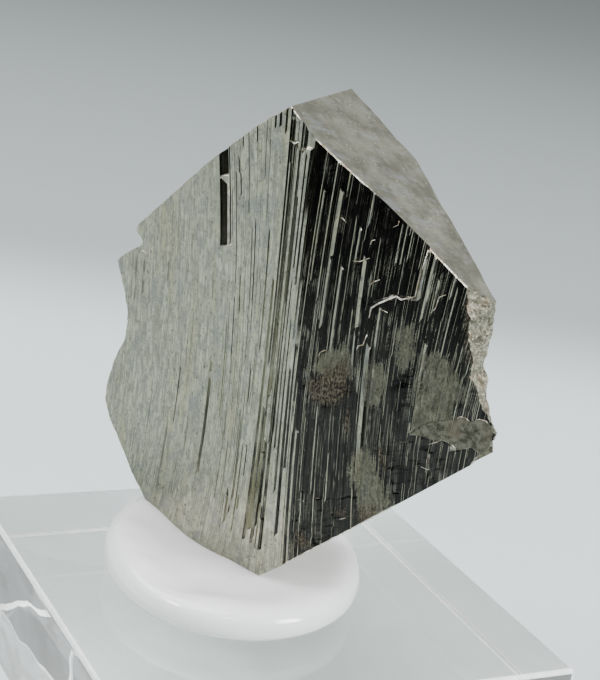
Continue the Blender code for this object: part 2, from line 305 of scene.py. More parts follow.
# Finer lanes fill the space between. A zone: its left and right end, the pitch of its lanes,
# and the least and most of their width, length and gap
laneZones = (
    (-19.2, -6.6, 0.26, (0.012, 0.05), (1.0, 7.0), (4.0, 18.0)),
    (-6.6, -2.7, 0.20, (0.015, 0.08), (1.5, 10.0), (2.0, 9.0)),
    (-2.7, 0.0, 0.16, (0.04, 0.16), (5.0, 24.0), (0.5, 5.0)),
    (0.0, 2.1, 0.13, (0.035, 0.12), (4.0, 20.0), (0.5, 4.0)),
    (2.1, 12.7, 0.15, (0.018, 0.072), (0.8, 7.0), (1.0, 6.0)),
)
laneShape = {
    "stripSlope": 0.60,
    "farSlope": 0.34,  # of the strips left of farUntil
    "farUntil": -8.3,
    "return": 0.07,  # width of a strip's way back to the face
    "returnShare": 0.6,
    "resting": 0.012,  # width of a lane between its stretches
    "taper": 0.16,
    "closest": 0.006,
    "growing": (-7.4, -0.1),  # these lanes widen towards the foot
    "lowGrowth": 1.1,
    "growthFrom": -15.0,
    "growthOver": 10.0,
    "footLevel": -28.7,
    "footSpread": 2.2,
    "jogChance": 0.7,
    "jog": 0.14,
    "jogLevels": (-30.0, 1.0),
    "mostJogs": 4,
    "clear": (0.06, 0.13),
}

# Missing layers on the right front face: the floor's depth at the left and right end,
# and the outline as (across, height)
recesses = {
    "upper layer": (0.02, 0.24, (
        (3.4, -2.2), (3.2, -6.2), (3.9, -10.3), (4.5, -10.0), (5.0, -9.7), (5.9, -9.3), (6.3, -9.5),
        (6.9, -9.4), (7.6, -5.6),
    )),
    "lower layer": (0.03, 0.26, (
        (6.9, -16.1), (7.4, -18.3), (8.5, -18.3), (9.0, -18.2), (9.4, -18.5), (10.0, -18.7),
        (10.3, -19.1), (10.6, -18.8), (11.1, -18.5), (11.5, -18.6), (12.6, -19.3), (7.0, -24.5),
        (6.2, -19.5),
    )),
    "pocket": (0.01, 0.03, (
        (1.0, -18.2), (2.9, -18.1), (3.5, -19.3), (3.8, -20.3), (4.0, -21.4), (4.5, -23.2),
        (3.2, -23.6), (0.9, -23.9),
    )),
    "apex layer": (0.04, 0.20, (
        (-1.6, 0.9), (-1.7, -0.3), (-0.9, -1.0), (0.2, -0.7), (0.1, 0.9),
    )),
}


def randomLanes(chance, named):
    lanes = []
    before, after = laneShape["clear"]
    taken = [(start - before, start + after + max(part[2] for part in parts)) for start, parts in named]
    for left, right, pitch, (thin, wide), length, gap in laneZones:
        for index in range(int((right - left) / pitch)):
            start = left + (index + chance.uniform(0.1, 0.9)) * pitch
            if any(low < start < high for low, high in taken):
                continue
            parts = []
            height = crystal["top"] + chance.uniform(-gap[1], 0.0)
            while height > crystal["bottom"]:
                foot = height - chance.uniform(*length)
                if start < 0.0:
                    foot = max(foot, laneShape["footLevel"] + laneShape["footSpread"] * chance.random() ** 2)
                width = thin + (wide - thin) * chance.random() ** 2
                if height > foot:
                    parts.append((height, foot, width))
                height = min(height, foot) - chance.uniform(*gap)
            lanes.append((start, tuple(parts)))
    return lanes


def laneJogs(chance):
    jogs = []
    while chance.random() < laneShape["jogChance"] and len(jogs) < laneShape["mostJogs"]:
        jogs.append((chance.uniform(*laneShape["jogLevels"]), chance.uniform(-1.0, 1.0) * laneShape["jog"]))
    return jogs


# Every row of the slab's front: heights, then places across and relief as arrays
def slabRows():
    chance = random.Random(crystal["seed"])
    named = sorted(leftLanes + rightLanes)
    lanes = [(*lane, True) for lane in named] + [(*lane, False) for lane in randomLanes(chance, named)]
    lanes.sort()
    starts = np.array([lane[0] for lane in lanes])
    drifts = np.array([laneDrifts.get(lane[0], 0.0) for lane in lanes])
    signs = np.where(starts < 0.0, 1.0, -1.0)
    jogs = [[] if lane[2] else laneJogs(chance) for lane in lanes]
    heights = np.linspace(crystal["bottom"], crystal["top"], crystal["rows"])
    growFrom, growTo = laneShape["growing"]
    growing = (starts > growFrom) & (starts < growTo)
    slopes = np.where(starts < laneShape["farUntil"], laneShape["farSlope"], laneShape["stripSlope"])
    places = []
    reliefs = []
    for height in heights:
        wides = np.zeros(len(lanes))
        for index, lane in enumerate(lanes):
            for top, foot, wide in lane[1]:
                if foot - laneShape["taper"] < height < top + laneShape["taper"]:
                    inside = min(top - height, height - foot) / laneShape["taper"] + 1.0
                    wides[index] = wide * min(1.0, max(0.0, inside))
        sideways = np.array([sum(jog for level, jog in own if height < level) for own in jogs])
        begin = starts + leanShift(starts, height) + drifts * (fan["middle"] - height) + sideways
        lower = min(1.0, max(0.0, (laneShape["growthFrom"] - height) / laneShape["growthOver"]))
        wides = wides * np.where(growing, 1.0 + laneShape["lowGrowth"] * lower, 1.0)
        width = np.maximum(wides, laneShape["resting"])
        back = np.minimum(laneShape["return"], laneShape["returnShare"] * wides)
        back = np.maximum(back, laneShape["resting"])
        across = np.stack([begin, begin + width, begin + width + back], axis=1).ravel()
        across = np.concatenate([[crystal["left"]], across, [crystal["right"]]])
        order = np.arange(len(across)) * laneShape["closest"]
        across = np.maximum.accumulate(across - order) + order
        relief = np.zeros(len(across))
        relief[2:-1:3] = signs * wides * slopes
        places.append(across)
        reliefs.append(relief)
    return heights, np.array(places), np.array(reliefs)


# Whether each point lies inside a closed outline, counting crossings
def insideOutline(across, height, outline):
    inside = np.zeros(across.shape, dtype=bool)
    for (x1, z1), (x2, z2) in zip(outline, outline[1:] + outline[:1]):
        if z1 == z2:
            continue
        spans = (z1 > height) != (z2 > height)
        inside ^= spans & (across < (x2 - x1) * (height - z1) / (z2 - z1) + x1)
    return inside


def recessDepth(across, height):
    depth = np.zeros(across.shape)
    for leftDepth, rightDepth, outline in recesses.values():
        left = min(point[0] for point in outline)
        right = max(point[0] for point in outline)
        share = np.clip((across - left) / (right - left), 0.0, 1.0)
        floor = leftDepth + (rightDepth - leftDepth) * share
        depth += np.where(insideOutline(across, height, outline), floor, 0.0)
    return depth


# Where the right face is uneven instead of flat: middle (across, height), half size, depth
unevenGround = (
    ((2.3, -25.8), (2.4, 2.6), 0.09),
    ((1.9, -15.9), (2.0, 1.7), 0.05),
    ((8.6, -15.2), (2.9, 2.6), 0.05),
    ((7.2, -20.6), (3.2, 2.4), 0.06),
    ((1.5, -1.9), (1.0, 1.3), 0.04),
)
unevenGrain = {"across": 1.6, "up": 1.1, "layer": 0.37, "edge": 3.0, "fine": 2.7, "fineShare": 0.4}


def unevenRelief(across, height):
    relief = np.zeros(across.shape)
    for (x, z), (halfX, halfZ), deep in unevenGround:
        reach = np.hypot((across - x) / halfX, (height - z) / halfZ)
        for row, column in zip(*np.nonzero(reach < 1.0)):
            along, up = across[row, column] * unevenGrain["across"], height[row, column] * unevenGrain["up"]
            spot = Vector((along, up, unevenGrain["layer"]))
            bumps = noise.noise(spot) + unevenGrain["fineShare"] * noise.noise(spot * unevenGrain["fine"])
            fade = min(1.0, unevenGrain["edge"] * (1.0 - reach[row, column]))
            relief[row, column] += fade * deep * bumps
    return relief


def frontPlane(across):
    return np.where(across < 0.0, -crystal["leftSlope"] * across, crystal["rightSlope"] * across)


def backPlane(across):
    leftBend, rightBend = crystal["backBends"]
    leftSlope, rightSlope = crystal["backSlopes"]
    rightFall = np.maximum(0.0, across - rightBend) * rightSlope
    leftFall = np.maximum(0.0, leftBend - across) * leftSlope
    return crystal["backDepth"] - (rightFall + leftFall)


# A grid whose points are given row by row, from the bottom up
def addSheet(bm, across, depth, height):
    rows, columns = across.shape
    before = len(bm.verts)
    bmesh.ops.create_grid(bm, x_segments=columns - 1, y_segments=rows - 1, size=0.5)
    bm.verts.ensure_lookup_table()
    fresh = sorted(bm.verts[before:], key=lambda v: (round(v.co.y, 6), v.co.x))
    points = np.stack([across, depth, height], axis=2).reshape(-1, 3)
    for vert, point in zip(fresh, points):
        vert.co = point


# The back's low steps: each climbs steeply, then falls off slowly, and jogs at one level
backSteps = {
    "count": 90,
    "across": (-18.0, 11.0),
    "rise": (-0.06, 0.06),
    "level": (-34.0, 4.0),
    "jog": 0.35,
    "climb": 0.3,
    "fall": 2.0,
}


def backRelief(across, height):
    chance = random.Random(crystal["seed"] + 1)
    relief = np.zeros(across.shape)
    for _ in range(backSteps["count"]):
        start = chance.uniform(*backSteps["across"])
        rise = chance.uniform(*backSteps["rise"])
        level = chance.uniform(*backSteps["level"])
        lane = laneOf(across, height) + np.where(height < level, backSteps["jog"], 0.0)
        relief += rise * np.clip((lane - start) / backSteps["climb"], 0.0, 1.0)
        relief -= rise * np.clip((lane - start - backSteps["fall"]) / backSteps["fall"], 0.0, 1.0)
    return relief


def crystalMatrix():
    turn = crystal["tilt"].to_matrix().to_4x4()
    return Matrix.Translation(crystal["place"]) @ turn @ Matrix.Scale(mm, 4)


# Cuts away what lies on the normal's side of a plane and closes the cut
def cutFlat(bm, point, normal, slot):
    cut = bmesh.ops.bisect_plane(
        bm, geom=everything(bm), dist=1e-6, plane_co=point, plane_no=normal, clear_outer=True)
    rim = [item for item in cut["geom_cut"] if isinstance(item, bmesh.types.BMEdge)]
    filled = bmesh.ops.holes_fill(bm, edges=rim, sides=0)
    for face in filled["faces"]:
        face.material_index = slot


def makeSlab():
    heights, across, relief = slabRows()
    height = np.repeat(heights[:, None], across.shape[1], axis=1)
    depth = frontPlane(across) + relief + recessDepth(across, height) + unevenRelief(across, height)
    backColumns, backRows = crystal["backGrid"]
    levels = np.linspace(crystal["bottom"], crystal["top"], backRows)
    places = np.linspace(crystal["left"], crystal["right"], backColumns)
    backAcross, backHeight = np.meshgrid(places, levels)
    backDepth = backPlane(backAcross) + backRelief(backAcross, backHeight)
    backDepth = np.maximum(backDepth, frontPlane(backAcross) + crystal["thinnest"])
    bm = bmesh.new()
    addSheet(bm, across, depth, height)
    addSheet(bm, backAcross, backDepth, backHeight)
    rims = [edge for edge in bm.edges if edge.is_boundary]
    bmesh.ops.bridge_loops(bm, edges=rims)
    turnOutwards(bm)
    return bm


# The prism planes above the face, each as a point on the front edge and a normal
def upperPlanes():
    left = []
    for x, z, angle in crystal["upperLeft"]:
        tip = math.radians(angle)
        left.append((Vector((x, -crystal["leftSlope"] * x, z)), Vector((-math.sin(tip), 0.0, math.cos(tip)))))
    right = []
    for x, z, angle in crystal["upperRight"]:
        tip = math.radians(angle)
        normal = Vector((math.sin(tip), crystal["upperFall"], math.cos(tip))).normalized()
        right.append((Vector((x, crystal["rightSlope"] * x, z)), normal))
    return left, right


def prismPlanes():
    angle = crystal["lowerRightAngle"]
    lowerRight = Vector((math.sin(angle), 0.0, -math.cos(angle)))
    toCrystal = crystalMatrix().inverted()
    foot = toCrystal @ Vector((0.0, 0.0, crystal["footLevel"] * mm))
    down = (toCrystal.to_3x3() @ Vector((0.0, 0.0, -1.0))).normalized()
    left, right = upperPlanes()
    return right + [(lowerRight * crystal["lowerRightOffset"], lowerRight), (foot, down)] + left


# Torn and etched sides, each cut by a block with one shaped side, which runs through the
# crystal between an edge on the front, as (across, height), and one further back.
# On the right each point has its depth too. The bow of the left one's far edge: how far
# out it stands, at which height, and its curve.
leftBreak = (
    (-15.3, -8.7), (-15.55, -9.7), (-15.5, -9.95), (-15.0, -10.2), (-14.8, -10.5), (-15.0, -10.8),
    (-15.7, -11.2), (-16.3, -11.6), (-17.0, -12.1), (-17.4, -12.5), (-17.2, -13.1), (-17.0, -13.6),
    (-16.6, -14.6), (-16.3, -15.7), (-16.2, -16.7), (-16.5, -18.2), (-17.5, -20.0), (-18.1, -21.8),
    (-18.4, -23.4), (-17.7, -24.8), (-16.7, -26.0), (-15.8, -27.3), (-14.8, -28.5), (-13.6, -29.7),
    (-12.0, -31.2), (-9.0, -33.6),
)
leftBreakBow = (-17.6, -19.0, 0.045)
rightBreakFront = (
    (9.2, -6.9, 2.5), (9.8, -8.3, 2.7), (10.1, -10.3, 2.8), (10.6, -13.2, 2.9), (11.3, -15.1, 3.1),
    (12.1, -16.7, 3.3), (12.4, -17.6, 3.4), (11.7, -19.0, 3.3), (10.9, -20.3, 3.2),
)
rightBreakBack = (
    (11.4, -7.6, 4.6), (11.4, -9.0, 4.6), (11.2, -10.6, 4.7), (10.9, -13.6, 4.8),
    (11.2, -15.3, 4.7), (11.8, -16.9, 4.4), (12.3, -17.7, 4.1), (11.6, -19.0, 4.0),
    (10.9, -20.3, 4.0),
)
breakLook = {
    "steps": 240,
    "layers": 40,
    "span": 1.6,  # of the crystal's thickness, and how much of it is in front
    "before": 0.3,
    "lift": 0.25,
    "farDepth": 10.5,
    "farRise": 0.4,
    "left": (-30.0, ((0.75, 0.10), (2.4, 0.06), (6.0, 0.04))),  # how far out, (grain, depth)
    "right": (24.0, ((0.75, 0.35), (2.4, 0.16), (6.0, 0.08))),
}


def tornPoint(place, rough):
    shift = sum(size * noise.noise(place * scale) for scale, size in rough)
    return place + Vector((shift, 0.0, breakLook["lift"] * shift))


def breakCutter(side, near, far, paint):
    outward, rough = breakLook[side]
    bm = bmesh.new()
    bmesh.ops.create_grid(bm, x_segments=breakLook["steps"], y_segments=breakLook["layers"], size=0.5)
    torn = bm.faces[:]
    for vert in bm.verts:
        along = (vert.co.x + 0.5) * (len(near) - 1)
        first = min(int(along + 1e-6), len(near) - 2)
        through = (vert.co.y + 0.5) * breakLook["span"] - breakLook["before"]
        start = near[first].lerp(near[first + 1], along - first)
        end = far[first].lerp(far[first + 1], along - first)
        vert.co = tornPoint(start.lerp(end, through), rough)
    pulled = bmesh.ops.extrude_face_region(bm, geom=torn, use_keep_orig=True)
    for item in pulled["geom"]:
        if isinstance(item, bmesh.types.BMVert):
            item.co.x = outward
    turnOutwards(bm)
    return finishedObject(bm, side + "Cutter", [paint])


def cutBy(target, cutter):
    step = target.modifiers.new(cutter.name, "BOOLEAN")
    step.operation = "DIFFERENCE"
    step.solver = "EXACT"
    step.material_mode = "TRANSFER"
    step.object = cutter
    applied = shownMesh(target)
    target.modifiers.clear()
    target.data = applied
    bpy.data.objects.remove(cutter, do_unlink=True)


# Widths of the narrow chamfers where the sharp edges have worn bright
wornEdges = {
    "upper right": 0.08,
    "upper left": 0.08,
    "lower right": 0.08,
}


def chamferPlanes():
    leftFace = Vector((-crystal["leftSlope"], -1.0, 0.0)).normalized()
    rightFace = Vector((crystal["rightSlope"], -1.0, 0.0)).normalized()
    left, right = upperPlanes()
    planes = [(point, normal + leftFace, wornEdges["upper left"]) for point, normal in left]
    planes += [(point, normal + rightFace, wornEdges["upper right"]) for point, normal in right]
    planes.append((right[0][0], right[0][1] + leftFace, wornEdges["upper right"]))
    angle = crystal["lowerRightAngle"]
    lowPoint = Vector((0.0, 0.0, -crystal["lowerRightOffset"] / math.cos(angle)))
    lowFace = Vector((math.sin(angle), 0.0, -math.cos(angle)))
    planes.append((lowPoint, lowFace + rightFace, wornEdges["lower right"]))
    made = []
    for point, normal, width in planes:
        normal = normal.normalized()
        made.append((point - normal * width / 2.0, normal))
    return made


# Patches of another finish on the right face, as outlines of (across, height)
patches = {
    "brown": (
        ((0.5, -15.9), (1.6, -14.8), (3.0, -13.7), (3.5, -14.7), (3.6, -16.3), (2.8, -17.4), (1.2, -17.3)),
        ((3.0, -16.9), (3.6, -17.0), (3.75, -18.6), (3.5, -19.4), (3.1, -18.2)),
        ((4.3, -24.0), (5.4, -23.3), (6.2, -24.0), (5.6, -25.0), (4.6, -25.3)),
        ((2.7, -24.3), (3.9, -24.0), (4.0, -24.9), (3.0, -24.9)),
        ((0.5, -26.0), (1.3, -26.3), (1.6, -27.3), (0.5, -27.6)),
        ((5.2, -19.3), (5.9, -19.5), (6.2, -21.0), (5.6, -21.4)),
        ((9.7, -9.0), (10.4, -9.0), (10.9, -13.0), (10.3, -13.4)),
    ),
    "plate": (
        ((7.5, -18.3), (7.5, -16.1), (7.6, -15.0), (7.9, -14.0), (7.6, -13.2), (8.5, -12.6), (9.5, -13.1),
         (10.2, -14.2), (10.6, -15.5), (10.0, -15.9), (9.9, -17.1), (8.9, -17.3)),
        ((4.3, -14.8), (4.7, -13.7), (5.4, -14.2), (5.6, -15.3), (5.3, -16.7), (4.6, -17.0)),
        ((4.0, -20.4), (4.9, -19.7), (5.6, -20.8), (6.2, -22.4), (6.7, -23.4), (5.5, -24.8), (4.9, -24.8),
         (4.3, -22.9), (3.7, -21.7)),
        ((0.8, -14.9), (1.6, -13.6), (3.0, -13.0), (3.6, -14.7), (2.8, -15.6), (1.6, -15.4)),
        ((6.0, -11.5), (6.9, -11.2), (7.4, -12.9), (6.9, -14.4), (6.2, -13.8)),
    ),
}
patchFade = 1.3
# Painted shade: faces whose normals turn to the right get the shaded copy of the colour, faces that turn left
# the lit copy
shadeByLean = {"from": -0.10, "over": 0.24}  # how a face's sideways lean makes it dark or bright


# Distance inside a closed outline, negative outside it
def outlineReach(across, height, outline):
    nearest = np.full(across.shape, 1e9)
    for (x1, z1), (x2, z2) in zip(outline, outline[1:] + outline[:1]):
        runX, runZ = x2 - x1, z2 - z1
        share = np.clip(((across - x1) * runX + (height - z1) * runZ) / (runX ** 2 + runZ ** 2), 0.0, 1.0)
        nearest = np.minimum(nearest, np.hypot(across - x1 - share * runX, height - z1 - share * runZ))
    return np.where(insideOutline(across, height, outline), nearest, -nearest)


# Three values of each vertex or face, as three arrays
def threeArrays(items, name):
    values = np.empty(len(items) * 3)
    items.foreach_get(name, values)
    return values.reshape(-1, 3).T


# Writes the striation coordinates, the patch masks and the facing mask for the painted shade on the finished
# mesh
def markPatches(made):
    mesh = made.data
    across, depth, height = threeArrays(mesh.vertices, "co")
    lane = laneOf(across, height)
    corners = np.empty(len(mesh.loops), dtype=np.int32)
    mesh.loops.foreach_get("vertex_index", corners)
    striae = mesh.uv_layers.new(name="striae")
    striae.uv.foreach_set("vector", np.stack([lane[corners], height[corners]], axis=1).ravel())
    front = depth < (frontPlane(across) + backPlane(across)) / 2.0
    for name, spots in patches.items():
        mask = np.zeros(across.shape)
        for outline in spots:
            spot = np.clip(0.5 + outlineReach(across, height, outline) / patchFade, 0.0, 1.0)
            mask = np.maximum(mask, spot)
        mesh.attributes.new(name, "FLOAT", "POINT").data.foreach_set("value", mask * front)
    sideways = threeArrays(mesh.polygons, "normal")[0]
    faceAcross, faceDepth, _ = threeArrays(mesh.polygons, "center")
    frontFace = faceDepth < (frontPlane(faceAcross) + backPlane(faceAcross)) / 2.0
    # Painted shade mask: 1 on front faces that turn right, 0 on those that turn left
    facingShade = np.clip((sideways - shadeByLean["from"]) / shadeByLean["over"], 0.0, 1.0) * frontFace
    mesh.attributes.new("facingShade", "FLOAT", "FACE").data.foreach_set("value", facingShade)


def striatedPaint():
    paint = Paint("striatedArsenopyrite", Metallic=1.0)
    streaks = paint.noise(paint.striae((9.0, 0.16, 1.0)), 5.0, 0.6)
    hairs = paint.noise(paint.striae((17.0, 0.30, 1.0)), 2.0, 0.5)
    broad = paint.noise(paint.striae((0.9, 0.07, 1.0)), 3.0)
    laneTone = paint.noise(paint.striae((3.1, 0.04, 1.0)), 2.0)
    smudge = paint.noise(paint.striae((0.8, 0.45, 1.0)), 6.0, 0.7, 0.8)
    mottle = paint.noise(paint.striae((3.1, 0.85, 1.0)), 7.0, 0.75, 0.5)
    pits = paint.noise(paint.striae((5.0, 2.6, 1.0)), 4.0, 0.65)
    grit = paint.noise(paint.striae((8.0, 4.5, 1.0)), 5.0, 0.75)
    lane = paint.along(paint.striae(), 0)
    rightSide = lane.between(-1.7, -0.2)
    # Painted shade: the facing mask from markPatches chooses between lit and shaded copies of the colour
    facingShade = paint.attribute("facingShade")
    ragged = (grit - 0.5) * 0.9 + (streaks - 0.5) * 1.3 + (smudge - 0.5) * 0.8
    plateMask, brownMask = paint.attribute("plate"), paint.attribute("brown")
    plate = (plateMask + ragged).between(0.40, 0.72) * plateMask.between(0.0, 0.3)
    brown = (brownMask + ragged).between(0.50, 0.85) * brownMask.between(0.0, 0.3)
    brown = brown * mottle.between(0.34, 0.46)
    clean = paint.mix(streaks.between(0.34, 0.66), (0.235, 0.233, 0.176), (0.42, 0.417, 0.327))
    warm = paint.mix(broad.between(0.48, 0.72) * 0.8, clean, (0.325, 0.305, 0.195))
    blotched = paint.mix(mottle.between(0.44, 0.58) * 0.8, warm, (0.175, 0.175, 0.145))
    cool = paint.mix(smudge.between(0.52, 0.64) * 0.65, blotched, (0.185, 0.195, 0.19))
    lined = paint.mix(hairs.between(0.57, 0.66) * 0.6, cool, (0.12, 0.115, 0.085))
    lightened = paint.mix(grit.between(0.58, 0.68) * 0.7, lined, (0.66, 0.65, 0.55))
    pitted = paint.mix(pits.between(0.57, 0.66) * 0.8, lightened, (0.09, 0.082, 0.062))
    # Painted shade: near black for the faces that turn right, standing in for their dark reflections
    dark = paint.mix(streaks.between(0.3, 0.7), (0.012, 0.012, 0.012), (0.038, 0.038, 0.034))
    height = paint.along(paint.striae(), 1)
    # Painted highlight: bright streaks on the shaded faces, weaker low on the face
    paintedGleam = hairs.between(0.54, 0.64) * smudge.between(0.45, 0.56) * (0.3 + height.between(-20.0, -8.0) * 0.7)
    dark = paint.mix(paintedGleam, dark, (0.38, 0.37, 0.29))
    # Painted shade: darker colour for the strips on the left face that turn right, partly faded back to the
    # lit colour
    strip = paint.mix(laneTone.between(0.42, 0.56), (0.13, 0.125, 0.08), (0.03, 0.03, 0.026))
    fading = paint.noise(paint.striae((2.7, 0.55, 1.0)), 4.0, 0.6)
    farLeft = 1.0 - lane.between(-8.5, -8.2)
    strip = paint.mix(fading.between(0.44, 0.62) * (0.35 + farLeft * 0.3), strip, pitted)
    # The painted shade is the strip colour on the left face and near black on the right face
    dark = paint.mix(rightSide, strip, dark)
    # Lit and shaded copies of one colour: the facing mask puts the painted shade on faces that turn right,
    # less on the plates
    litOrShaded = paint.mix(facingShade * (1.0 - plate * 0.7), pitted, dark)
    worn = mottle.between(0.36, 0.46) * (1.0 - pits.between(0.54, 0.60) * 0.6)
    grain = paint.mix(grit.between(0.35, 0.65), (0.024, 0.023, 0.016), (0.165, 0.16, 0.11))
    grain = paint.mix(streaks.between(0.45, 0.65) * 0.6, grain, (0.19, 0.185, 0.135))
    grain = paint.mix(mottle.between(0.50, 0.60) * 0.7, grain, (0.02, 0.02, 0.018))
    plated = paint.mix(plate * (0.3 + streaks.between(0.40, 0.56) * 0.6) * worn, litOrShaded, grain)
    rust = paint.mix(grit.between(0.42, 0.62), (0.018, 0.015, 0.012), (0.25, 0.205, 0.15))
    colour = paint.mix(brown * 0.62, plated, rust)
    rough = 0.30 + streaks * 0.10 - facingShade * 0.10 + plate * 0.25 + brown * 0.25
    relief = streaks * 0.6 + grit * (plate + brown) * 1.3 + pits * 0.2 + mottle * 0.3
    normal = paint.bump(relief, 0.4, 0.04 * mm)
    return paint.feed(Base_Color=colour, Roughness=rough.clipped(), Normal=normal)


# Painted glints: small bright specks, as many as the share
def paintedGlints(paint, scale, share):
    settings = {"feature": "F1"}
    values = {"Vector": paint.place(scale=(scale, scale, scale)), "Scale": 1.0}
    near = paint.add("ShaderNodeTexVoronoi", settings, values, out="Distance")
    chance = paint.add("ShaderNodeTexVoronoi", settings, values, out="Color")
    return (1.0 - near.between(0.10, 0.32)) * chance.between(1.0 - share, 1.0 - share * 0.6)


def prismPaint():
    paint = Paint("prismArsenopyrite", Metallic=1.0)
    grain = paint.speckle(3000.0, 5.0, 0.65)
    cloud = paint.speckle(520.0, 6.0, 0.7)
    smear = paint.noise(paint.place((0.0, math.radians(39.0), 0.0), (120.0, 900.0, 900.0)), 5.0, 0.65)
    colour = paint.mix(cloud.between(0.35, 0.65), (0.24, 0.236, 0.185), (0.385, 0.382, 0.31))
    colour = paint.mix(smear.between(0.52, 0.68) * 0.7, colour, (0.445, 0.46, 0.465))
    colour = paint.mix(grain.between(0.58, 0.70) * 0.45, colour, (0.20, 0.195, 0.16))
    # Painted glints on the prism faces
    colour = paint.mix(paintedGlints(paint, 5200.0, 0.22), colour, (0.97, 0.96, 0.92))
    rough = 0.40 + cloud * 0.15
    ledges = smear.between(0.44, 0.47) + smear.between(0.55, 0.58)
    normal = paint.bump(grain * 0.7 + cloud * 0.8 + ledges * 0.25, 0.6, 0.05 * mm)
    return paint.feed(Base_Color=colour, Roughness=rough, Normal=normal)


def breakPaint():
    paint = Paint("brokenArsenopyrite", Metallic=1.0)
    grain = paint.speckle(3600.0, 6.0, 0.75)
    stain = paint.speckle(650.0, 5.0, 0.7)
    fresh = paint.mix(grain.between(0.40, 0.60), (0.12, 0.113, 0.082), (0.35, 0.338, 0.262))
    colour = paint.mix(stain.between(0.48, 0.62) * 0.75, fresh, (0.24, 0.175, 0.12))
    # Painted glints on the broken faces
    colour = paint.mix(paintedGlints(paint, 4600.0, 0.35), colour, (0.85, 0.83, 0.72))
    rough = 0.34 + stain * 0.25
    normal = paint.bump(grain, 0.65, 0.12 * mm)
    return paint.feed(Base_Color=colour, Roughness=rough, Normal=normal)


def wornPaint():
    paint = Paint("wornEdge", Metallic=1.0)
    nicks = paint.speckle(2600.0, 4.0, 0.7)
    colour = paint.mix(nicks.between(0.42, 0.62), (0.34, 0.28, 0.20), (0.88, 0.85, 0.76))
    normal = paint.bump(nicks, 0.8, 0.05 * mm)
    return paint.feed(Base_Color=colour, Roughness=0.35 + nicks * 0.2, Normal=normal)


def makeCrystal():
    striated, prism, broken, worn = striatedPaint(), prismPaint(), breakPaint(), wornPaint()
    bm = makeSlab()
    for point, normal in prismPlanes():
        cutFlat(bm, point, normal, crystal["prismSlot"])
    splitWideFaces(bm)
    made = finishedObject(bm, "arsenopyriteCrystal", [striated, prism, broken, worn])
    print("crystal slab cut:", len(made.data.polygons), "faces")
    near = [Vector((x, -crystal["leftSlope"] * x, z)) for x, z in leftBreak]
    reach, middle, curve = leftBreakBow
    farDepth, farRise = breakLook["farDepth"], breakLook["farRise"]
    far = [Vector((reach + curve * (z - middle) ** 2, farDepth, z + farRise)) for _, z in leftBreak]
    cutBy(made, breakCutter("left", near, far, broken))
    near = [Vector((x, y, z)) for x, z, y in rightBreakFront]
    far = [Vector((x, y, z)) for x, z, y in rightBreakBack]
    cutBy(made, breakCutter("right", near, far, broken))
    print("crystal broken edges cut:", len(made.data.polygons), "faces")
    bm = bmesh.new()
    bm.from_mesh(made.data)
    for point, normal in chamferPlanes():
        cutFlat(bm, point, normal, crystal["wornSlot"])
    splitWideFaces(bm)
    for _ in range(crystal["pinchRounds"]):
        bmesh.ops.collapse(bm, edges=[edge for edge in bm.edges if len(edge.link_faces) > 2])
    bmesh.ops.delete(bm, geom=[edge for edge in bm.edges if not edge.link_faces], context="EDGES")
    bmesh.ops.delete(bm, geom=[vert for vert in bm.verts if not vert.link_faces], context="VERTS")
    bm.to_mesh(made.data)
    bm.free()
    markPatches(made)
    made.data.transform(crystalMatrix())
    made.data.update()
    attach(made, "root")
    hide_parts("arsenopyrite_crystal")
    return made


crystalPiece = makeCrystal()
print("crystal finished:", sum(len(face.vertices) - 2 for face in crystalPiece.data.polygons), "triangles")


